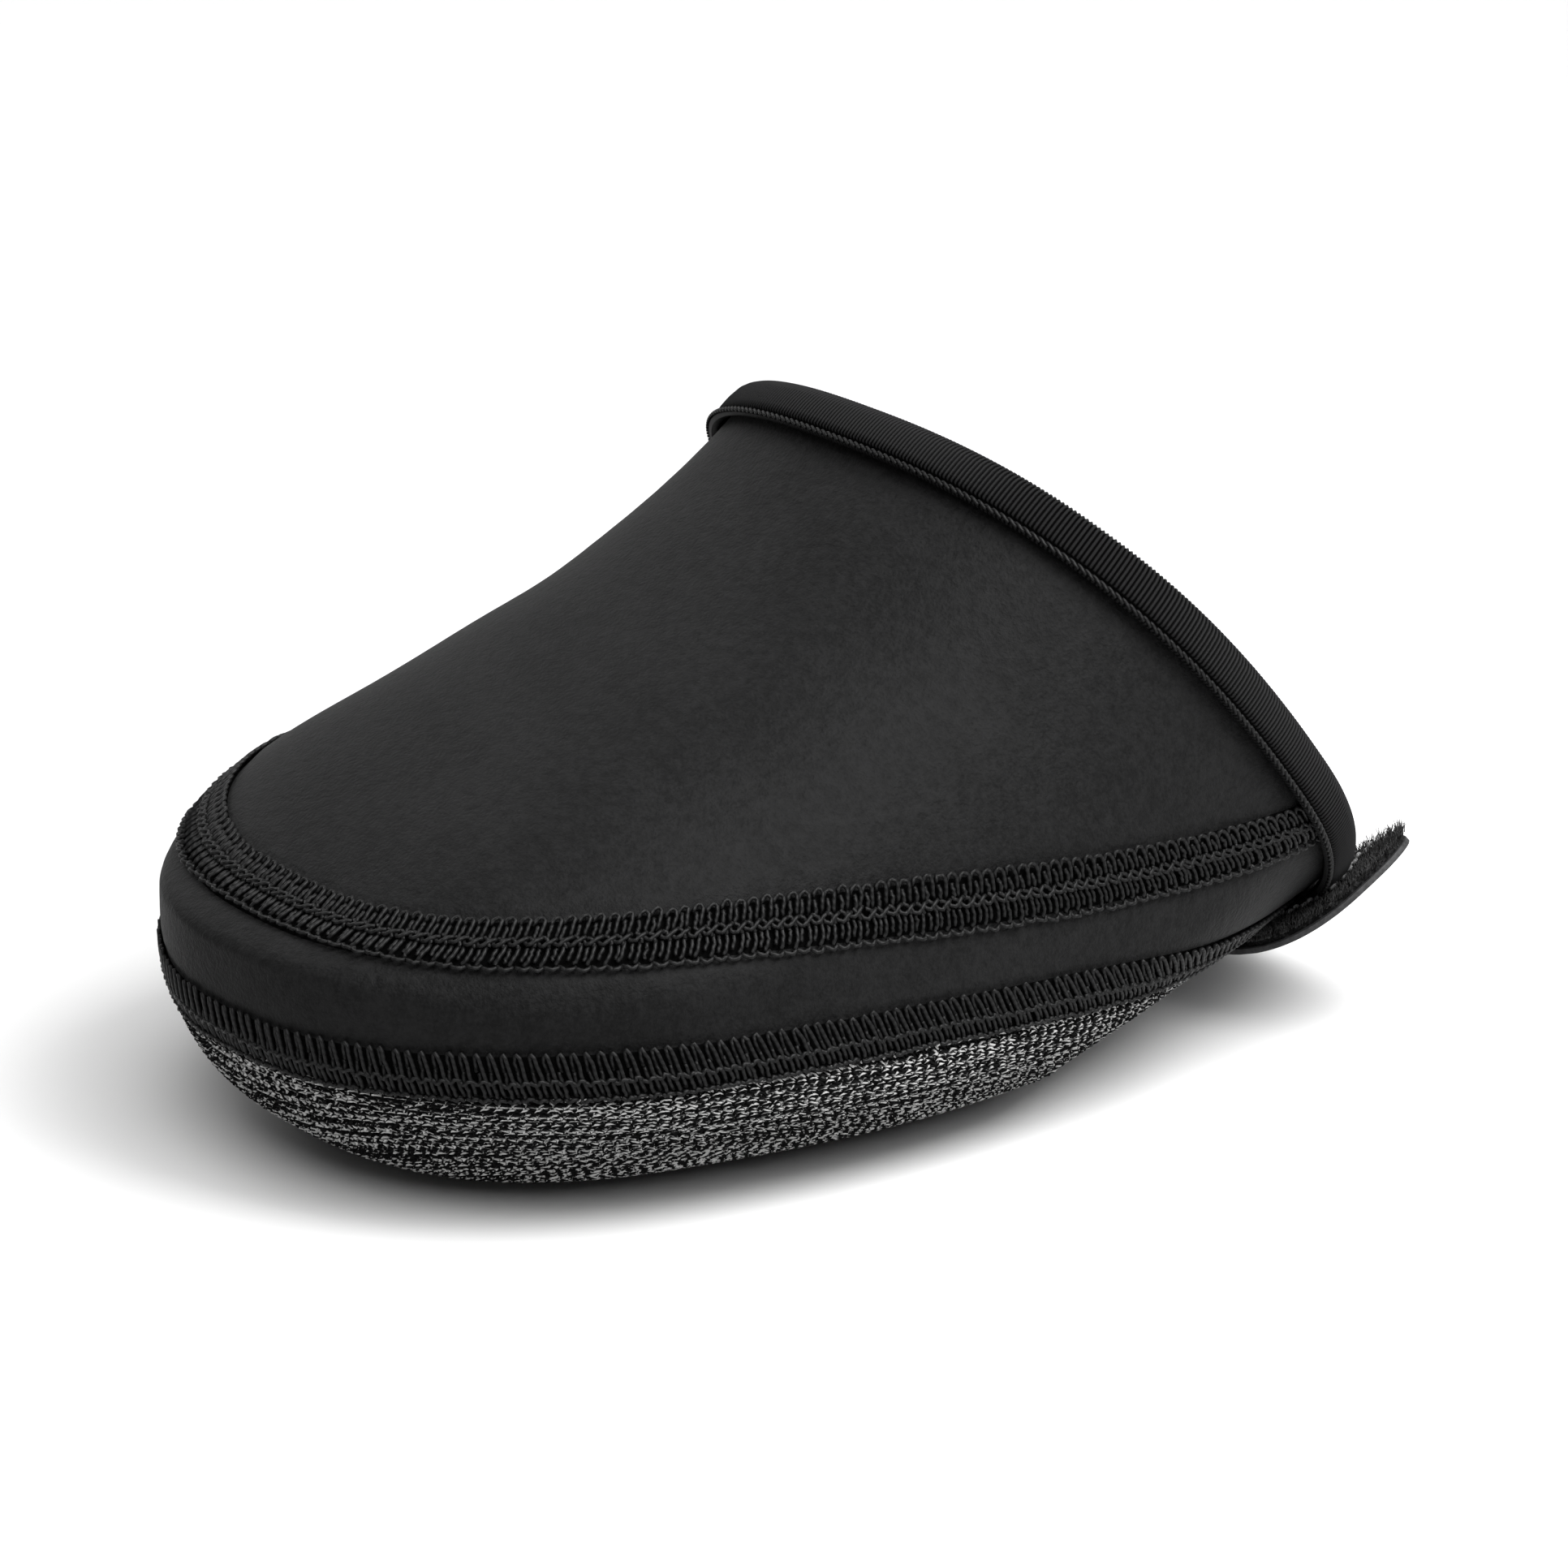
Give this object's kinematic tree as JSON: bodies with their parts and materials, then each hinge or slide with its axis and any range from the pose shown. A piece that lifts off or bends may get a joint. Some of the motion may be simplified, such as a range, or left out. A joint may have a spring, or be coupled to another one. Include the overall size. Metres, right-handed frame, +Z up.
{
  "type": "cycling toe cover",
  "caption": "Soft hood that wraps the front half of a cycling shoe, open at a slanted collar and under the cleat, closed beneath by a hook strap.",
  "frame": {"origin": "centre of the bounding box at floor level", "axes": "+Z up, toe toward -Y, the wearer's left toward +X"},
  "size_m": [0.11, 0.1732, 0.0899],
  "materials": {
    "softshell": "matte black bonded softshell with a fine grain and a brushed inside",
    "knit": "marled black and white chunky knit",
    "ribbed_binding": "fine cross-ribbed elastic binding, slight sheen",
    "strap_tape": "fuzzy loop face above, smooth tape below",
    "patch_cloth": "smooth black cloth with stitched edges"
  },
  "bodies": {
    "root": {"upper": "softshell", "knit_sole": "knit", "collar_binding": "ribbed_binding", "strap": "strap_tape", "closure_patch": "patch_cloth"}
  },
  "joints": []
}
